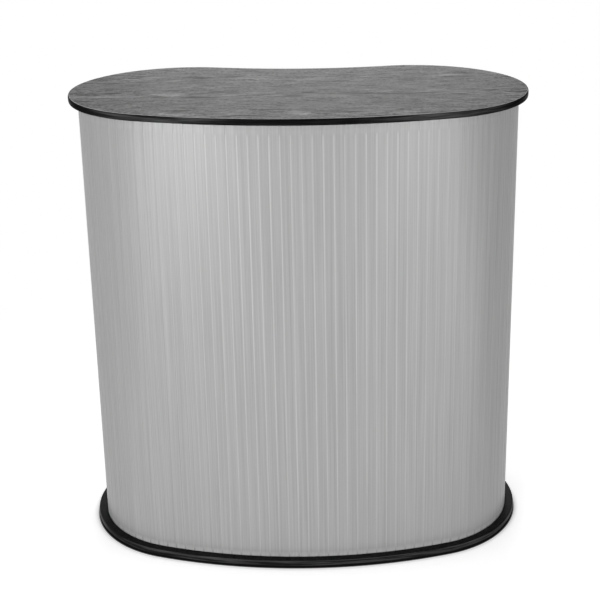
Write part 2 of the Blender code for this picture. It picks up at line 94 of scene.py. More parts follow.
# Finer shapes. The groove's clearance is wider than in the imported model.
END_SEGMENTS = 84
FRONT_SEGMENTS = 48
BACK_SEGMENTS = 40
BOARD_INSET = 0.00205
BOARD_BEVEL = 0.0013
GROOVE_CLEARANCE = 0.002
CUT_OVERRUN = 0.002
BAND_FACE_INSET = 0.0004
BAND_SHOULDER = 0.0004
BAND_TOP_DROP = 0.0004
BAND_BULGE_POWER = 4
BAND_FACE_SEGMENTS = 18
TOP_BAND_LIP = 0.0014
SLAT_ROUNDING = 0.0005
HINGE_FACE = 0.0031
SHARP_ANGLE = math.radians(40.0)
ROUNDING_STEPS = 3
ROUNDING_EDGE_SHARE = 0.45
TURNED_SEGMENTS = 64
TURNED_CAP_SHARE = 0.5
POLE_END_ROUNDING = 0.0004
SPIGOT_END_ROUNDING = 0.0012
WASHER_ROUNDING = 0.0005
SOCKET_ROUNDING = 0.0009
TRIM_ROUNDING = 0.0005
GLIDE_ROUNDING = 0.0009
GLIDE_CAP_SHARE = 0.6
GRUB_ROUNDING = 0.0003
KEY_RADIUS = 0.0014
KEY_DEPTH = 0.0020
KEY_SIDES = 6


# Outline

def outward(turn):
    """The outline's outward direction at a turn, which is 0 at the front centre and grows towards +X."""
    return Vector((math.sin(turn), -math.cos(turn)))


def mirrored(points):
    """The same points on the other side, in the opposite order."""
    return [Vector((-point.x, point.y)) for point in reversed(points)]


def convex_point(turn, inset):
    """The point on the front or right end arc whose outward direction is at this turn."""
    if turn <= FRONT_TURN:
        centre = Vector((0.0, FRONT_CENTRE_Y + CENTRE_LINE_Y))
        return centre + (FRONT_RADIUS - inset) * outward(turn)
    centre = Vector((END_CENTRE_X, CENTRE_LINE_Y))
    return centre + (END_RADIUS - inset) * outward(turn)


def convex_turns(last_turn):
    """Turns from the front centre to a last turn on the right end arc."""
    turns = [FRONT_TURN * step * 2 / FRONT_SEGMENTS for step in range(FRONT_SEGMENTS // 2)]
    sweep = last_turn - FRONT_TURN
    return turns + [FRONT_TURN + sweep * step / END_SEGMENTS for step in range(END_SEGMENTS + 1)]


def kidney_outline(inset):
    """The whole outline, counter-clockwise from the front centre, moved in by an inset."""
    right = [convex_point(turn, inset) for turn in convex_turns(math.pi + BACK_TURN)]
    centre = Vector((0.0, BACK_CENTRE_Y + CENTRE_LINE_Y))
    back = []
    for step in range(1, BACK_SEGMENTS):
        turn = BACK_TURN * (1 - 2 * step / BACK_SEGMENTS)
        back.append(centre + (BACK_RADIUS + inset) * outward(turn))
    return right + back + mirrored(right[1:])


# Building tools

BODY_OF = {node: body for body, nodes in frame["record"]["behaviour"]["bodies"].items() for node in nodes}
SLOT_OF = {part["node"]: part["material_slot"] for part in frame["record"]["subparts"]}


def new_object(name, data):
    """An object in the scene."""
    item = bpy.data.objects.new(name, data)
    bpy.context.scene.collection.objects.link(item)
    return item


def add_piece(node, mesh, materials=None, place=None):
    """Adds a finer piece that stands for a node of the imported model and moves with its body."""
    if not mesh.materials:
        for material in materials or [MATERIALS[SLOT_OF[node]]]:
            mesh.materials.append(material)
    piece = new_object("fine_" + node, mesh)
    if place is not None:
        piece.matrix_world = place
    weighted = piece.modifiers.new("Weighted normals", "WEIGHTED_NORMAL")
    weighted.keep_sharp = True
    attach(piece, BODY_OF[node])
    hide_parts(node)


def rounded(corners, rounding, closed=True):
    """Rounds the corners of a path. An open path keeps its two ends as they are."""
    corners = [Vector(corner) for corner in corners]
    path = []
    for index, corner in enumerate(corners):
        if not closed and index in (0, len(corners) - 1):
            path.append(corner)
            continue
        before = corners[index - 1] - corner
        after = corners[(index + 1) % len(corners)] - corner
        reach = min(rounding, before.length * ROUNDING_EDGE_SHARE, after.length * ROUNDING_EDGE_SHARE)
        start = corner + before.normalized() * reach
        end = corner + after.normalized() * reach
        for step in range(ROUNDING_STEPS + 1):
            share = step / ROUNDING_STEPS
            path.append(start.lerp(corner, share).lerp(corner.lerp(end, share), share))
    return path


def lofted_mesh(name, loops, ring=False):
    """Joins loops of the same count, each to the next. A ring also joins the last loop to the first, and
    what isn't a ring is closed by flat faces on its first and last loops."""
    count = len(loops[0])
    points = [point for loop in loops for point in loop]
    faces = []
    for lower in range(len(loops) if ring else len(loops) - 1):
        upper = (lower + 1) % len(loops)
        for index in range(count):
            following = (index + 1) % count
            faces.append((lower * count + index, lower * count + following,
                          upper * count + following, upper * count + index))
    if not ring:
        faces.append(tuple(reversed(range(count))))
        faces.append(tuple(range(len(points) - count, len(points))))
    mesh = bpy.data.meshes.new(name)
    mesh.from_pydata(points, [], faces)
    mesh.shade_smooth()
    mesh.set_sharp_from_angle(angle=SHARP_ANGLE)
    return mesh


def kidney_mesh(name, profile, ring=False):
    """The kidney outline at each inset and level of a profile, which runs up on its outer side."""
    loops = [[(x, y, level) for x, y in kidney_outline(inset)] for inset, level in profile]
    return lofted_mesh(name, loops, ring)


def flat_mesh(name, outline, bottom, top):
    """An outline, counter-clockwise from above, extruded from one level up to another."""
    return lofted_mesh(name, [[(x, y, level) for x, y in outline] for level in (bottom, top)])


def turned_loop(radius, level, sides=0):
    """A round loop about Z or, with a number of sides, one with flat sides and the same point count."""
    loop = []
    for step in range(TURNED_SEGMENTS):
        turn = math.tau * step / TURNED_SEGMENTS
        reach = radius
        if sides:
            reach *= math.cos(math.pi / sides) / math.cos(turn % (math.tau / sides) - math.pi / sides)
        loop.append((reach * math.cos(turn), reach * math.sin(turn), level))
    return loop


def turned_mesh(name, profile, rounding, ring=False):
    """A profile of (radius, height) points turned about Z, which runs up on its outer side."""
    loops = [turned_loop(radius, height) for radius, height in rounded(profile, rounding, ring)]
    return lofted_mesh(name, loops, ring)


def cut_mesh(mesh, cutter):
    """The mesh with the space of another mesh cut out of it."""
    item = new_object("to cut", mesh)
    helper = new_object("cutter", cutter)
    modifier = item.modifiers.new("Cut", "BOOLEAN")
    modifier.operation = "DIFFERENCE"
    modifier.object = helper
    bpy.context.view_layer.update()
    evaluated = item.evaluated_get(bpy.context.evaluated_depsgraph_get())
    result = bpy.data.meshes.new_from_object(evaluated)
    for used in (item, helper):
        bpy.data.objects.remove(used, do_unlink=True)
    result.set_sharp_from_angle(angle=SHARP_ANGLE)
    return result


def centre_of(node):
    low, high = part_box(node)
    return (low + high) / 2


def levels(node):
    """A node's lowest and highest level."""
    low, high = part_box(node)
    return low.z, high.z


def at(point, level):
    """A place over a point, at a level."""
    return Matrix.Translation((point.x, point.y, level))


# Materials. A noise scale counts the pattern's cells in a metre along X, Y and Z, and NOISE is the range
# that most of a pattern's values lie in.

NOISE = (0.3, 0.7)
NOISE_MIDDLE = (0.35, 0.65)
GRAIN_SWAY = 0.075
GRAIN_DARKEST = 0.03
EDGE_DARKEST = 0.001
SILVER_COLOUR = 0.42
SILVER_ROUGHNESS = 0.42
SILVER_METALLIC = 0.15
SILVER_GLOSS = 0.12
PLASTIC_TONES = (0.92, 1.08)
PLASTIC_ROUGHENING = (-0.04, 0.06)
METAL_TONES = (0.94, 1.05)
METAL_ROUGHENING = (-0.05, 0.07)

# Levels, or distances from the middle, between which a look changes. The hinges' painted glow has its own
# middle.
EDGE_FLOOR_LEVELS = (0.017, 0.03)
EDGE_HIGHLIGHT_REACH = (0.1, 0.2)
EDGE_END_REACH = (0.36, 0.44)
WRAP_FOOT_LEVELS = (0.017, 0.028)
WRAP_PAINTED_LIGHT_LEVELS = (0.932, 0.942)
WRAP_TOP_LEVELS = (0.949, 0.9555)
HINGE_FOOT_LEVELS = (0.03, 0.22)
HINGE_STRIP_LEVELS = (0.930, 0.940)
HINGE_GLOW_CENTRE = 0.045
HINGE_GLOW_REACH = (0.11, 0.35)


class Surface:
    """A node material with one Principled shader, and short calls that add nodes to it."""

    def __init__(self, name, colour, roughness, metallic=0.0):
        self.material = bpy.data.materials.new(name)
        self.material.use_nodes = True
        self.nodes = self.material.node_tree.nodes
        self.links = self.material.node_tree.links
        self.shader = self.nodes["Principled BSDF"]
        self.set("Base Color", (colour, colour, colour, 1.0))
        self.set("Roughness", roughness)
        self.set("Metallic", metallic)
        self.place = self.add("ShaderNodeTexCoord").outputs["Object"]

    def set(self, name, value):
        self.give(self.shader.inputs[name], value)

    def give(self, socket, value):
        """Links a node's output to the socket, or writes a plain value on it."""
        if isinstance(value, bpy.types.NodeSocket):
            self.links.new(value, socket)
        else:
            socket.default_value = value

    def add(self, kind, settings=None, **inputs):
        """Adds a node. An input's name has an underscore for each space."""
        node = self.nodes.new(kind)
        for name, value in (settings or {}).items():
            setattr(node, name, value)
        for name, value in inputs.items():
            self.give(node.inputs[name.replace("_", " ")], value)
        return node

    def noise(self, scale, place=None, start=(0.0, 0.0), detail=2.0, roughness=0.5, distortion=0.0):
        """Noise at the place in the object, scaled along each axis, from a start in the pattern."""
        mapped = self.add("ShaderNodeMapping", Vector=place or self.place)
        mapped.inputs["Scale"].default_value = scale
        mapped.inputs["Location"].default_value = (*start, 0.0)
        node = self.add("ShaderNodeTexNoise", Vector=mapped.outputs["Vector"], Scale=1.0, Detail=detail,
                        Roughness=roughness, Distortion=distortion)
        return node.outputs["Fac"]

    def wave(self, place, **inputs):
        """Soft bands along X."""
        node = self.add("ShaderNodeTexWave", {"bands_direction": "Y"}, Vector=place, **inputs)
        return node.outputs["Fac"]

    def ramp(self, value, source, target, smooth=False):
        """Carries a value from one range to another, and holds it at both ends."""
        settings = {"interpolation_type": "SMOOTHSTEP" if smooth else "LINEAR"}
        node = self.add("ShaderNodeMapRange", settings, Value=value)
        for name, number in zip(("From Min", "From Max", "To Min", "To Max"), (*source, *target)):
            node.inputs[name].default_value = number
        return node.outputs["Result"]

    def maths(self, operation, *values):
        """One operation on one or two values, or on more of them from left to right."""
        node = self.add("ShaderNodeMath", {"operation": operation})
        for socket, value in zip(node.inputs, values[:2]):
            self.give(socket, value)
        result = node.outputs["Value"]
        return self.maths(operation, result, *values[2:]) if len(values) > 2 else result

    def paint(self, value):
        """Sets the base colour to a grey."""
        grey = self.add("ShaderNodeCombineColor", Red=value, Green=value, Blue=value)
        self.set("Base Color", grey.outputs["Color"])

    def part_of_place(self, axis):
        return self.add("ShaderNodeSeparateXYZ", Vector=self.place).outputs[axis]

    def bump(self, value, strength, distance):
        node = self.add("ShaderNodeBump", Height=value, Strength=strength, Distance=distance)
        self.set("Normal", node.outputs["Normal"])


def ash_laminate():
    """Dark grey laminate, embossed with ash grain along X: rows of long pores between calmer bands."""
    surface = Surface("ash_laminate", 0.21, 0.6)
    surface.set("Specular IOR Level", 0.05)
    sway = surface.maths("SUBTRACT", surface.noise((4.0, 7.0, 1.0), detail=3.0), 0.5)
    aside = surface.add("ShaderNodeCombineXYZ", Y=surface.maths("MULTIPLY", sway, GRAIN_SWAY))
    moved = surface.add("ShaderNodeVectorMath", {"operation": "ADD"})
    surface.give(moved.inputs[0], surface.place)
    surface.give(moved.inputs[1], aside.outputs["Vector"])
    place = moved.outputs["Vector"]

    def patches(scale, start, edge, strength, marks, **kind):
        """Marks that show in patches alone, up to a strength."""
        patch = surface.noise(scale, place, start, **kind)
        return surface.maths("MULTIPLY", surface.ramp(patch, edge, (0.0, strength), smooth=True), marks)

    mottle = surface.noise((130.0, 130.0, 1.0), place, detail=4.0, roughness=0.65)
    bands = surface.noise((16.0, 50.0, 1.0), place, start=(36.9, 8.4), detail=3.0, roughness=0.55)
    fibres = surface.noise((24.0, 280.0, 1.0), place, detail=3.0, roughness=0.6)
    ground = surface.maths("ADD", surface.ramp(mottle, NOISE, (0.06, 0.38)),
                           surface.ramp(bands, NOISE, (-0.1, 0.1)),
                           surface.ramp(fibres, NOISE, (-0.23, 0.23)))
    pores = surface.ramp(surface.noise((15.0, 400.0, 1.0), place), (0.42, 0.52), (0.1, 1.0))
    dark = patches((11.0, 60.0, 1.0), (45.0, 50.7), (0.55, 0.68), 0.29, pores, distortion=0.5)
    pale = patches((12.0, 65.0, 1.0), (58.6, 57.4), (0.52, 0.66), 0.4, pores, distortion=0.5)
    lines = surface.wave(place, Scale=13.0, Distortion=1.5, Detail=1.0, Detail_Scale=0.6)
    lines = surface.ramp(lines, (0.72, 0.92), (0.0, 1.0))
    lines = patches((10.0, 34.0, 1.0), (5.4, 48.6), (0.54, 0.6), 0.55, lines, detail=1.0)
    rows = surface.wave(place, Scale=1.96, Distortion=1.2, Detail=2.0, Detail_Scale=3.0, Phase_Offset=4.7)
    rows = surface.ramp(rows, (0.45, 0.95), (0.12, 1.0), smooth=True)
    streaks = surface.maths("SUBTRACT", pale, surface.maths("MAXIMUM", dark, lines))
    grain = surface.maths("ADD", ground, surface.maths("MULTIPLY", streaks, rows))
    surface.paint(surface.maths("MAXIMUM", grain, GRAIN_DARKEST))
    surface.set("Roughness", surface.ramp(fibres, NOISE, (0.52, 0.66)))
    surface.bump(grain, 0.4, 0.002)
    return surface.material


def bevel_highlight():
    """The pale bevel round the board's upper face, whose colour is a painted highlight along the edge."""
    surface = Surface("bevel_highlight", 0.3, 0.5)
    surface.set("Specular IOR Level", 0.3)
    marks = surface.noise((60.0, 60.0, 900.0), detail=3.0)
    # Pale colour: a painted highlight along the bevel
    surface.paint(surface.ramp(marks, NOISE, (0.7, 0.85)))
    return surface.material


def black_laminate():
    """Matt black laminate with a fine mottle."""
    surface = Surface("black_laminate", 0.008, 0.5)
    surface.set("Specular IOR Level", 0.03)
    mottle = surface.noise((170.0, 170.0, 170.0), detail=4.0, roughness=0.6)
    surface.paint(surface.ramp(mottle, (0.4, 0.68), (0.003, 0.018)))
    surface.set("Roughness", surface.ramp(mottle, NOISE, (0.42, 0.56)))
    surface.bump(mottle, 0.25, 0.0003)
    return surface.material


def black_edge():
    """Black plastic edging, smooth in the middle and dull at the ends. Its colour carries painted
    highlights: pale streaky bands to either side of the middle, fading towards the ends. Near the floor it
    is paler and streaked all along.
    """
    surface = Surface("black_edging", 0.005, 0.28)
    aside = surface.maths("ABSOLUTE", surface.part_of_place("X"))
    glossy_middle = surface.ramp(aside, EDGE_END_REACH, (1.0, 0.1), smooth=True)
    # Painted highlights: the colour is paler in streaky bands to either side of the middle, fading at the
    # ends
    highlight_bands = surface.maths("MULTIPLY", glossy_middle, surface.ramp(aside, EDGE_HIGHLIGHT_REACH, (0.15, 1.0), smooth=True))
    low_down = surface.ramp(surface.part_of_place("Z"), EDGE_FLOOR_LEVELS, (0.85, 0.0))
    streaks = surface.noise((16.0, 16.0, 330.0), detail=3.0, roughness=0.6)
    pale_streaks = surface.noise((9.0, 9.0, 260.0), detail=3.0, roughness=0.6)
    gloss = surface.ramp(streaks, (0.38, 0.62), (0.005, 0.03))
    shade = surface.ramp(pale_streaks, (0.42, 0.62), (0.012, 0.07))
    surface.set("Specular IOR Level",
                surface.maths("MULTIPLY", surface.maths("MAXIMUM", glossy_middle, low_down), gloss))
    # The colour: the painted highlight bands, and near the floor pale streaks all along
    shade = surface.maths("MULTIPLY", shade, surface.maths("MAXIMUM", highlight_bands, low_down))
    surface.paint(surface.maths("ADD", shade, EDGE_DARKEST))
    surface.set("Roughness", surface.ramp(streaks, NOISE, (0.3, 0.22)))
    surface.bump(streaks, 0.3, 0.0003)
    return surface.material


def silver_plastic(name, colour):
    """Satin silver plastic with fine upright drawing marks. Just below the wrap's top edge it is painted a
    little paler, a painted light that lifts the shadow under the top's overhang, and it is paler at the
    wrap's extreme top and bottom."""
    surface = Surface(name, colour, SILVER_ROUGHNESS, SILVER_METALLIC)
    surface.set("Specular IOR Level", SILVER_GLOSS)
    broad = surface.noise((130.0, 130.0, 1.2), roughness=0.6)
    drawn = surface.noise((500.0, 500.0, 2.5), detail=3.0, roughness=0.6)
    level = surface.part_of_place("Z")
    surface.paint(surface.maths("ADD", surface.ramp(drawn, NOISE_MIDDLE, (-0.04, 0.04)),
                                surface.ramp(broad, NOISE_MIDDLE, (-0.01, 0.01)),
                                # Painted light just below the top edge, against the shadow under the top's
                                # overhang
                                surface.ramp(level, WRAP_PAINTED_LIGHT_LEVELS, (0.0, 0.02), smooth=True),
                                surface.ramp(level, WRAP_TOP_LEVELS, (0.0, 0.08)),
                                surface.ramp(level, WRAP_FOOT_LEVELS, (0.2, 0.0)), colour))
    surface.set("Roughness", surface.ramp(drawn, NOISE, (0.38, 0.48)))
    surface.bump(drawn, 0.12, 0.0002)
    return surface.material


def hinge_plastic():
    """The pale soft hinges. Their colour carries a painted glow for light from the open back shining through
    the milky plastic, least at the ends, near the foot and where the strip behind the top edge keeps it out."""
    surface = Surface("hinge_plastic", 0.52, SILVER_ROUGHNESS, SILVER_METALLIC)
    surface.set("Specular IOR Level", SILVER_GLOSS)
    level = surface.part_of_place("Z")
    from_centre = surface.maths("SUBTRACT", surface.part_of_place("X"), HINGE_GLOW_CENTRE)
    aside = surface.maths("ABSOLUTE", from_centre)
    along = surface.noise((60.0, 60.0, 3.0))
    # Painted glow: light from the open back, painted into the hinges' colour
    glow = surface.maths("MULTIPLY", surface.ramp(along, NOISE, (0.075, 0.125)),
                         surface.ramp(aside, HINGE_GLOW_REACH, (1.0, 0.2), smooth=True),
                         surface.ramp(level, HINGE_STRIP_LEVELS, (1.0, 0.25), smooth=True),
                         surface.ramp(level, HINGE_FOOT_LEVELS, (0.65, 1.0)))
    surface.paint(surface.maths("ADD", glow, SILVER_COLOUR))
    return surface.material


def plain_plastic(name, colour, roughness):
    """Moulded plastic or rubber with a fine, even mottle."""
    surface = Surface(name, colour, roughness)
    mottle = surface.noise((300.0, 300.0, 300.0), detail=3.0)
    surface.paint(surface.ramp(mottle, NOISE, [colour * tone for tone in PLASTIC_TONES]))
    surface.set("Roughness", surface.ramp(mottle, NOISE, [roughness + more for more in PLASTIC_ROUGHENING]))
    surface.bump(mottle, 0.15, 0.0002)
    return surface.material


def fine_metal(name, colour, roughness, scale):
    """Metal with fine marks, drawn out along the axis with the least scale."""
    surface = Surface(name, colour, roughness, metallic=1.0)
    marks = surface.noise(scale, detail=3.0, roughness=0.6)
    surface.paint(surface.ramp(marks, NOISE, [colour * tone for tone in METAL_TONES]))
    surface.set("Roughness", surface.ramp(marks, NOISE, [roughness + more for more in METAL_ROUGHENING]))
    surface.bump(marks, 0.12, 0.0001)
    return surface.material


MATERIALS = {
    "ash_laminate": ash_laminate(),
    "bevel_highlight": bevel_highlight(),
    "black_board": black_laminate(),
    "black_edge": black_edge(),
    "silver_slat": silver_plastic("silver_slats", SILVER_COLOUR),
    "hinge": hinge_plastic(),
    "wrap_strip": plain_plastic("grey_strip", 0.25, 0.5),
    "end_trim": silver_plastic("end_trim_plastic", 0.38),
    "aluminium": fine_metal("drawn_aluminium", 0.5, 0.34, (500.0, 500.0, 4.0)),
    "cast_aluminium": fine_metal("cast_metal", 0.45, 0.42, (260.0, 260.0, 260.0)),
    "steel": fine_metal("zinc_plated_steel", 0.5, 0.3, (900.0, 900.0, 900.0)),
    "nylon": plain_plastic("nylon", 0.7, 0.45),
    "rubber": plain_plastic("black_rubber", 0.02, 0.75),
}


def finish_packed_nodes():
    """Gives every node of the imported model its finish, by the name of its material slot."""
    for name, item in frame["nodes"].items():
        item.material_slots[0].link = "OBJECT"
        item.material_slots[0].material = MATERIALS[SLOT_OF[name]]


# Boards and edge bands

FLAT_NORMAL = 0.9
BEVEL_NORMAL = 0.3


def groove_mesh(bottom, top):
    """The space that one edge of the wrap takes in a board, with its clearance."""
    turns = convex_turns(wrap_turn(wrap_half_length()))
    outer = [convex_point(turn, WRAP_INSET - GROOVE_CLEARANCE) for turn in turns]
    inner = [convex_point(turn, WRAP_INNER_INSET + GROOVE_CLEARANCE) for turn in turns]
    outline = mirrored(outer[1:]) + outer + (mirrored(inner[1:]) + inner)[::-1]
    return flat_mesh("groove", outline, bottom, top)


def build_board(node, groove_above, face, bevel, rest):
    """A board with small bevels and the slot for the band's tongue, and the wrap's groove cut into it. The
    last three name the materials of its upper face, the bevel round that face, and all else."""
    middle = centre_of(node).z
    underside = middle - BOARD_THICKNESS / 2
    upper_side = middle + BOARD_THICKNESS / 2
    slot_half = TONGUE_THICKNESS / 2 + TOUCH_GAP
    slot_inset = BAND_THICKNESS + TONGUE_LENGTH + TOUCH_GAP
    mesh = kidney_mesh(node, [
        (BOARD_INSET + BOARD_BEVEL, underside), (BOARD_INSET, underside + BOARD_BEVEL),
        (BOARD_INSET, middle - slot_half), (slot_inset, middle - slot_half),
        (slot_inset, middle + slot_half), (BOARD_INSET, middle + slot_half),
        (BOARD_INSET, upper_side - BOARD_BEVEL), (BOARD_INSET + BOARD_BEVEL, upper_side),
    ])
    if groove_above:
        groove = groove_mesh(upper_side - GROOVE_DEPTH, upper_side + CUT_OVERRUN)
    else:
        groove = groove_mesh(underside - CUT_OVERRUN, underside + GROOVE_DEPTH)
    mesh = cut_mesh(mesh, groove)
    add_piece(node, mesh, [MATERIALS[name] for name in (face, bevel, rest)])
    for polygon in mesh.polygons:
        above_bevel = polygon.center.z > upper_side - BOARD_BEVEL
        if above_bevel and polygon.normal.z > FLAT_NORMAL:
            polygon.material_index = 0
        else:
            polygon.material_index = 1 if above_bevel and polygon.normal.z > BEVEL_NORMAL else 2


def build_edge_band(node, lip):
    """A band with a rounded face, and a tongue that lies at the board's middle level. Its top is a little
    below the board's, and a lip reaches a little below the board's underside."""
    middle = centre_of(node).z
    bottom = middle - BOARD_THICKNESS / 2 - lip
    top = middle + BOARD_THICKNESS / 2 - BAND_TOP_DROP
    profile = [(BAND_THICKNESS, bottom)]
    for step in range(BAND_FACE_SEGMENTS + 1):
        share = step / BAND_FACE_SEGMENTS
        drawn_in = (BAND_THICKNESS - BAND_SHOULDER - BAND_FACE_INSET) * (2 * share - 1) ** BAND_BULGE_POWER
        profile.append((BAND_FACE_INSET + drawn_in, bottom + (top - bottom) * share))
    half_tongue = TONGUE_THICKNESS / 2
    tongue_inset = BAND_THICKNESS + TONGUE_LENGTH
    profile += [
        (BAND_THICKNESS, top), (BAND_THICKNESS, middle + half_tongue),
        (tongue_inset, middle + half_tongue), (tongue_inset, middle - half_tongue),
        (BAND_THICKNESS, middle - half_tongue),
    ]
    add_piece(node, kidney_mesh(node, profile, ring=True))


# Tambour wrap

def wrap_turn(distance):
    """The outline's turn at a distance from the front centre, measured along the wrap's inner face."""
    front_radius = FRONT_RADIUS - WRAP_INNER_INSET
    front_length = front_radius * FRONT_TURN
    if distance <= front_length:
        return distance / front_radius
    return FRONT_TURN + (distance - front_length) / (END_RADIUS - WRAP_INNER_INSET)


def half_slat_count():
    """How many slats fit on one side of the middle slat, up to where the open back begins."""
    front_length = (FRONT_RADIUS - WRAP_INNER_INSET) * FRONT_TURN
    end_length = (END_RADIUS - WRAP_INNER_INSET) * (WRAP_END_TURN - FRONT_TURN)
    return int((front_length + end_length) / SLAT_PITCH - 0.5)


def wrap_half_length():
    """From the front centre to the last fold, along the wrap's inner face."""
    return (half_slat_count() + 0.5) * SLAT_PITCH


def fold_points():
    """The folds at the wrap's inner face, one pitch apart, from the left end to the right end."""
    distances = [(index + 0.5) * SLAT_PITCH for index in range(half_slat_count() + 1)]
    right = [convex_point(wrap_turn(distance), WRAP_INNER_INSET) for distance in distances]
    return mirrored(right) + right


def slat_frames():
    """One frame for each slat, at the middle of its inner face: X along the wrap and Y inwards."""
    folds = fold_points()
    frames = []
    for start, end in zip(folds, folds[1:]):
        along = end - start
        turn = Matrix.Rotation(math.atan2(along.y, along.x), 4, "Z")
        frames.append(at((start + end) / 2, 0.0) @ turn)
    return frames


def in_frame(place, along, inwards):
    """A point of a slat's frame, seen from above."""
    return (place @ Vector((along, inwards, 0.0))).xy


def build_wrap():
    """The wrap's section, extruded upwards: slats with rounded edges, and soft hinges between them."""
    low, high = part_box("tambour_wrap")
    half = SLAT_WIDTH / 2
    section = rounded([(-half, -HINGE_FACE), (-half, -SLAT_THICKNESS),
                       (half, -SLAT_THICKNESS), (half, -HINGE_FACE)], SLAT_ROUNDING, closed=False)
    frames = slat_frames()
    outer = [in_frame(place, along, inwards) for place in frames for along, inwards in section]
    inner = [in_frame(frames[0], -half, 0.0)] + fold_points()[1:-1] + [in_frame(frames[-1], half, 0.0)]
    mesh = flat_mesh("tambour_wrap", outer + inner[::-1], low.z, high.z)
    add_piece("tambour_wrap", mesh, [MATERIALS["silver_slat"], MATERIALS["hinge"]])
    for index in range(len(section) - 1, len(outer) - 1, len(section)):
        mesh.polygons[index].material_index = 1


def build_end_trims():
    """A channel with rounded edges on each upright end of the wrap."""
    frames = slat_frames()
    floor = SLAT_WIDTH / 2 + TOUCH_GAP
    end = floor + TRIM_WALL
    mouth = end - TRIM_DEPTH
    inner_lip = TOUCH_GAP
    outer_lip = -SLAT_THICKNESS - TOUCH_GAP
    profile = rounded([
        (mouth, outer_lip - TRIM_WALL), (end, outer_lip - TRIM_WALL), (end, inner_lip + TRIM_WALL),
        (mouth, inner_lip + TRIM_WALL), (mouth, inner_lip), (floor, inner_lip),
        (floor, outer_lip), (mouth, outer_lip),
    ], TRIM_ROUNDING)
    for node, side, place in (("wrap_end_trim_left", -1, frames[0]), ("wrap_end_trim_right", 1, frames[-1])):
        low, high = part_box(node)
        outline = [in_frame(place, side * along, inwards) for along, inwards in profile]
        add_piece(node, flat_mesh(node, outline[::side], low.z, high.z))


# Poles, spigots, washers and sockets

POLES = ("front_right", "front_left", "back_right", "back_left")
UPSIDE_DOWN = Matrix.Rotation(math.pi, 4, "X")


def build_turned(prefix, profile, rounding, ring=False):
    """One turned mesh for a kind of node, placed at each pole."""
    mesh = turned_mesh(prefix, profile, rounding, ring)
    for pole in POLES:
        add_piece(prefix + pole, mesh, place=at(centre_of(prefix + pole), 0.0))


def tube_profile(outer, inner, bottom, top):
    return [(outer, bottom), (outer, top), (inner, top), (inner, bottom)]


def build_poles():
    """The poles, the washers under and on the shelf, and the spigots through it."""
    for prefix in ("lower_pole_", "upper_pole_"):
        profile = tube_profile(POLE_RADIUS, POLE_BORE_RADIUS, *levels(prefix + POLES[0]))
        build_turned(prefix, profile, POLE_END_ROUNDING, ring=True)
    for prefix in ("lower_washer_", "upper_washer_"):
        profile = tube_profile(WASHER_RADIUS, SPIGOT_RADIUS + TOUCH_GAP, *levels(prefix + POLES[0]))
        build_turned(prefix, profile, WASHER_ROUNDING, ring=True)
    bottom, top = levels("spigot_" + POLES[0])
    cap_radius = TURNED_CAP_SHARE * SPIGOT_RADIUS
    profile = [(cap_radius, bottom), (SPIGOT_RADIUS, bottom), (SPIGOT_RADIUS, top), (cap_radius, top)]
    build_turned("spigot_", profile, SPIGOT_END_ROUNDING)


def socket_mesh(name, height):
    """A flanged socket about Z, its flange on the level of zero and its mouth upwards."""
    screw_hole_radius = SCREW_HEAD_RADIUS + TOUCH_GAP
    return turned_mesh(name, [
        (FLANGE_RADIUS, 0.0), (FLANGE_RADIUS, FLANGE_THICKNESS), (SOCKET_RADIUS, FLANGE_THICKNESS),
        (SOCKET_RADIUS, height), (SOCKET_BORE_RADIUS, height), (SOCKET_BORE_RADIUS, FLANGE_THICKNESS),
        (screw_hole_radius, FLANGE_THICKNESS), (screw_hole_radius, 0.0),
    ], SOCKET_ROUNDING, ring=True)


def grub_frame():
    """The grub screw's axis, outwards from a socket's own axis, towards the open back."""
    return Matrix.Translation((0.0, 0.0, GRUB_HEIGHT)) @ Matrix.Rotation(-math.pi / 2, 4, "X")


def grub_screw_mesh():
    """A screw along Z, from the socket's bore outwards, with a hexagonal hole for a key in its end."""
    end = SOCKET_RADIUS + GRUB_STAND_OUT
    return lofted_mesh("grub_screw", [
        turned_loop(GRUB_RADIUS, SOCKET_BORE_RADIUS), turned_loop(GRUB_RADIUS, end - GRUB_ROUNDING),
        turned_loop(GRUB_RADIUS - GRUB_ROUNDING, end), turned_loop(KEY_RADIUS, end, KEY_SIDES),
        turned_loop(KEY_RADIUS, end - KEY_DEPTH, KEY_SIDES),
    ])


def grub_hole_mesh():
    """The space that the grub screw takes in the wall of a socket."""
    radius = GRUB_RADIUS + TOUCH_GAP
    ends = (SOCKET_BORE_RADIUS - CUT_OVERRUN, SOCKET_RADIUS + CUT_OVERRUN)
    mesh = lofted_mesh("grub_hole", [turned_loop(radius, level) for level in ends])
    mesh.transform(grub_frame())
    return mesh


def build_sockets():
    """The base's sockets with their grub screws, and the top's, which hang mouth down."""
    bottom, top = levels("base_socket_" + POLES[0])
    base_mesh = cut_mesh(socket_mesh("base_socket", top - bottom), grub_hole_mesh())
    top_mesh = socket_mesh("top_socket", top - bottom)
    grub_mesh = grub_screw_mesh()
    for pole in POLES:
        place = at(centre_of("base_socket_" + pole), bottom)
        add_piece("base_socket_" + pole, base_mesh, place=place)
        add_piece("grub_screw_" + pole, grub_mesh, place=place @ grub_frame())
        node = "top_socket_" + pole
        add_piece(node, top_mesh, place=at(centre_of(node), levels(node)[1]) @ UPSIDE_DOWN)


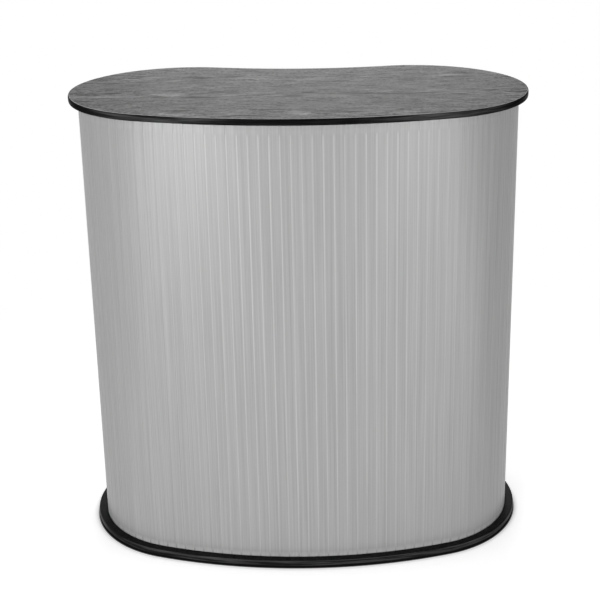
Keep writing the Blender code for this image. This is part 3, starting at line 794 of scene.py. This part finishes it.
def build_glides():
    """Round pads that the counter stands on, each with a stem up into the base board."""
    shoulder = GLIDE_HEIGHT - TOUCH_GAP
    tip = shoulder + GLIDE_STEM_LENGTH
    mesh = turned_mesh("base_glide", [
        (GLIDE_RADIUS * GLIDE_CAP_SHARE, 0.0), (GLIDE_RADIUS, 0.0), (GLIDE_RADIUS, shoulder),
        (GLIDE_STEM_RADIUS, shoulder), (GLIDE_STEM_RADIUS, tip), (GLIDE_STEM_RADIUS * TURNED_CAP_SHARE, tip),
    ], GLIDE_ROUNDING)
    for row in ("front", "side", "back"):
        for side in ("right", "left"):
            node = "base_glide_" + row + "_" + side
            add_piece(node, mesh, place=at(centre_of(node), 0.0))


# Camera, floor and light

CAMERA_PLACE = (0.0768, -2.6237, 1.5419)
CAMERA_PITCH = 0.3258
CAMERA_YAW = -0.0006
CAMERA_ROLL = -0.0099
CAMERA_LENS = 77.76
CAMERA_SENSOR = 36.0
CAMERA_SHIFT = (-0.0632, -0.1079)


def add_camera():
    """The photograph's view. Its angles are in radians, and the pitch is how far it looks down."""
    data = bpy.data.cameras.new("camera")
    data.sensor_fit = "HORIZONTAL"
    data.sensor_width = CAMERA_SENSOR
    data.lens = CAMERA_LENS
    data.shift_x, data.shift_y = CAMERA_SHIFT
    camera = new_object("camera", data)
    yaw = Matrix.Rotation(CAMERA_YAW, 4, "Z")
    rise = Matrix.Rotation(math.pi / 2 - CAMERA_PITCH, 4, "X")
    roll = Matrix.Rotation(CAMERA_ROLL, 4, "Z")
    camera.matrix_world = Matrix.Translation(CAMERA_PLACE) @ yaw @ rise @ roll
    bpy.context.scene.camera = camera


def seen_share(nodes, links):
    """1 for rays that show a background, straight on or in a gloss or glass, and 0 for the rest."""
    path = nodes.new("ShaderNodeLightPath")
    share = path.outputs["Is Camera Ray"]
    for kind in ("Is Glossy Ray", "Is Transmission Ray"):
        larger = nodes.new("ShaderNodeMath")
        larger.operation = "MAXIMUM"
        links.new(share, larger.inputs[0])
        links.new(path.outputs[kind], larger.inputs[1])
        share = larger.outputs["Value"]
    return share


FLOOR_HALF = 30.0
FLOOR_GLOW = 0.6
FLOOR_PAINTED_SHADOW_SHARE = (0.0, 0.6)
FLOOR_WHITE_REACH = (0.6, 1.6)
WORLD_FILL = 0.25

# How far in from the outline, and the share of the glow there: none under the base, all of it further out.
# Where the share is low the floor's colour is darkened too, a painted shadow under the base.
FLOOR_RINGS = [(0.010, 0.0), (0.0, 0.0), (-0.003, 0.6), (-0.012, 0.93), (-0.060, 1.0)]


def floor_mesh():
    """The floor, in rings round the counter's outline. Each point keeps its share of the glow."""
    loops = [[(x, y, 0.0) for x, y in kidney_outline(inset)] for inset, share in FLOOR_RINGS]
    loops.append([(x * FLOOR_HALF, y * FLOOR_HALF, 0.0) for x, y, level in loops[-1]])
    shares = [share for inset, share in FLOOR_RINGS] + [1.0]
    count = len(loops[0])
    faces = [tuple(range(count))]
    for inner in range(len(loops) - 1):
        for index in range(count):
            following = (index + 1) % count
            faces.append((inner * count + index, (inner + 1) * count + index,
                          (inner + 1) * count + following, inner * count + following))
    mesh = bpy.data.meshes.new("floor")
    mesh.from_pydata([point for loop in loops for point in loop], [], faces)
    attribute = mesh.attributes.new("glow_share", "FLOAT", "POINT")
    attribute.data.foreach_set("value", [share for share in shares for index in range(count)])
    return mesh


def pale_floor():
    """A pale surface that glows to white where it is seen, less so next to the counter, and which keeps
    the counter's soft shadow. Under the base its colour is darkened to a painted shadow. Far out it is plain
    white."""
    surface = Surface("pale_floor", 0.85, 0.9)
    surface.set("Specular IOR Level", 0.0)
    grain = surface.noise((30.0, 30.0, 30.0), detail=3.0)
    open_share = surface.add("ShaderNodeAttribute", {"attribute_name": "glow_share"}).outputs["Fac"]
    # Painted shadow: the colour darkens where the glow share is low, under the base
    surface.paint(surface.maths("MULTIPLY", surface.ramp(grain, NOISE, (0.845, 0.855)),
                                surface.ramp(open_share, FLOOR_PAINTED_SHADOW_SHARE, (0.03, 1.0))))
    seen = seen_share(surface.nodes, surface.links)
    strength = surface.maths("MULTIPLY", seen, open_share, FLOOR_GLOW)
    glow = surface.add("ShaderNodeEmission", Strength=strength)
    lit = surface.add("ShaderNodeAddShader")
    surface.give(lit.inputs[0], surface.shader.outputs["BSDF"])
    surface.give(lit.inputs[1], glow.outputs["Emission"])
    distance = surface.add("ShaderNodeVectorMath", {"operation": "LENGTH"})
    surface.give(distance.inputs[0], surface.place)
    far = surface.ramp(distance.outputs["Value"], FLOOR_WHITE_REACH, (0.0, 1.0), smooth=True)
    mix = surface.add("ShaderNodeMixShader", Fac=surface.maths("MULTIPLY", seen, far))
    surface.give(mix.inputs[1], lit.outputs["Shader"])
    surface.give(mix.inputs[2], surface.add("ShaderNodeEmission").outputs["Emission"])
    surface.give(surface.nodes["Material Output"].inputs["Surface"], mix.outputs["Shader"])
    return surface.material


def add_floor():
    mesh = floor_mesh()
    mesh.materials.append(pale_floor())
    floor = new_object("floor", mesh)


def add_world():
    """White where it is seen, and a weak even fill for all other light."""
    world = bpy.data.worlds.new("studio")
    world.use_nodes = True
    nodes, links = world.node_tree.nodes, world.node_tree.links
    background = nodes["Background"]
    background.inputs["Color"].default_value = (1.0, 1.0, 1.0, 1.0)
    strength = nodes.new("ShaderNodeMapRange")
    strength.inputs["To Min"].default_value = WORLD_FILL
    links.new(seen_share(nodes, links), strength.inputs["Value"])
    links.new(strength.outputs["Result"], background.inputs["Strength"])
    bpy.context.scene.world = world


# Azimuth from the front towards +X and elevation in degrees, distance, width, height and power in watts
LIGHTS = {
    "key_panel": (-20.0, 25.0, 2.6, 0.9, 0.9, 12.0),
    "left_panel": (-34.0, 0.0, 2.6, 0.9, 0.4, 17.5),
    "right_panel": (34.0, 0.0, 2.6, 0.8, 0.4, 11.5),
    "low_right_panel": (60.0, -15.0, 1.6, 0.5, 0.4, 1.2),
    "back_panel": (180.0, 25.0, 2.6, 1.6, 1.0, 22.0),
    "low_back_panel": (180.0, -3.0, 2.6, 2.0, 0.7, 12.0),
}
LIGHT_TARGET = Vector((0.0, 0.0, 0.55))


def add_lights():
    """Soft panels round the counter, which all face its middle."""
    for name, (azimuth, elevation, distance, width, height, power) in LIGHTS.items():
        data = bpy.data.lights.new(name, "AREA")
        data.shape = "RECTANGLE"
        data.size = width
        data.size_y = height
        data.energy = power
        turn, rise = math.radians(azimuth), math.radians(elevation)
        offset = Vector((math.cos(rise) * math.sin(turn), -math.cos(rise) * math.cos(turn), math.sin(rise)))
        lamp = new_object(name, data)
        lamp.location = LIGHT_TARGET + distance * offset
        lamp.rotation_euler = (-offset).to_track_quat("-Z", "Y").to_euler()


bpy.context.scene.view_settings.view_transform = "Standard"
finish_packed_nodes()
build_board("top_board", False, "ash_laminate", "bevel_highlight", "black_board")
build_board("base_board", True, "black_board", "black_board", "black_board")
build_edge_band("top_edge_band", TOP_BAND_LIP)
build_edge_band("base_edge_band", 0.0)
build_wrap()
build_end_trims()
build_poles()
build_sockets()
build_glides()
add_camera()
add_floor()
add_world()
add_lights()
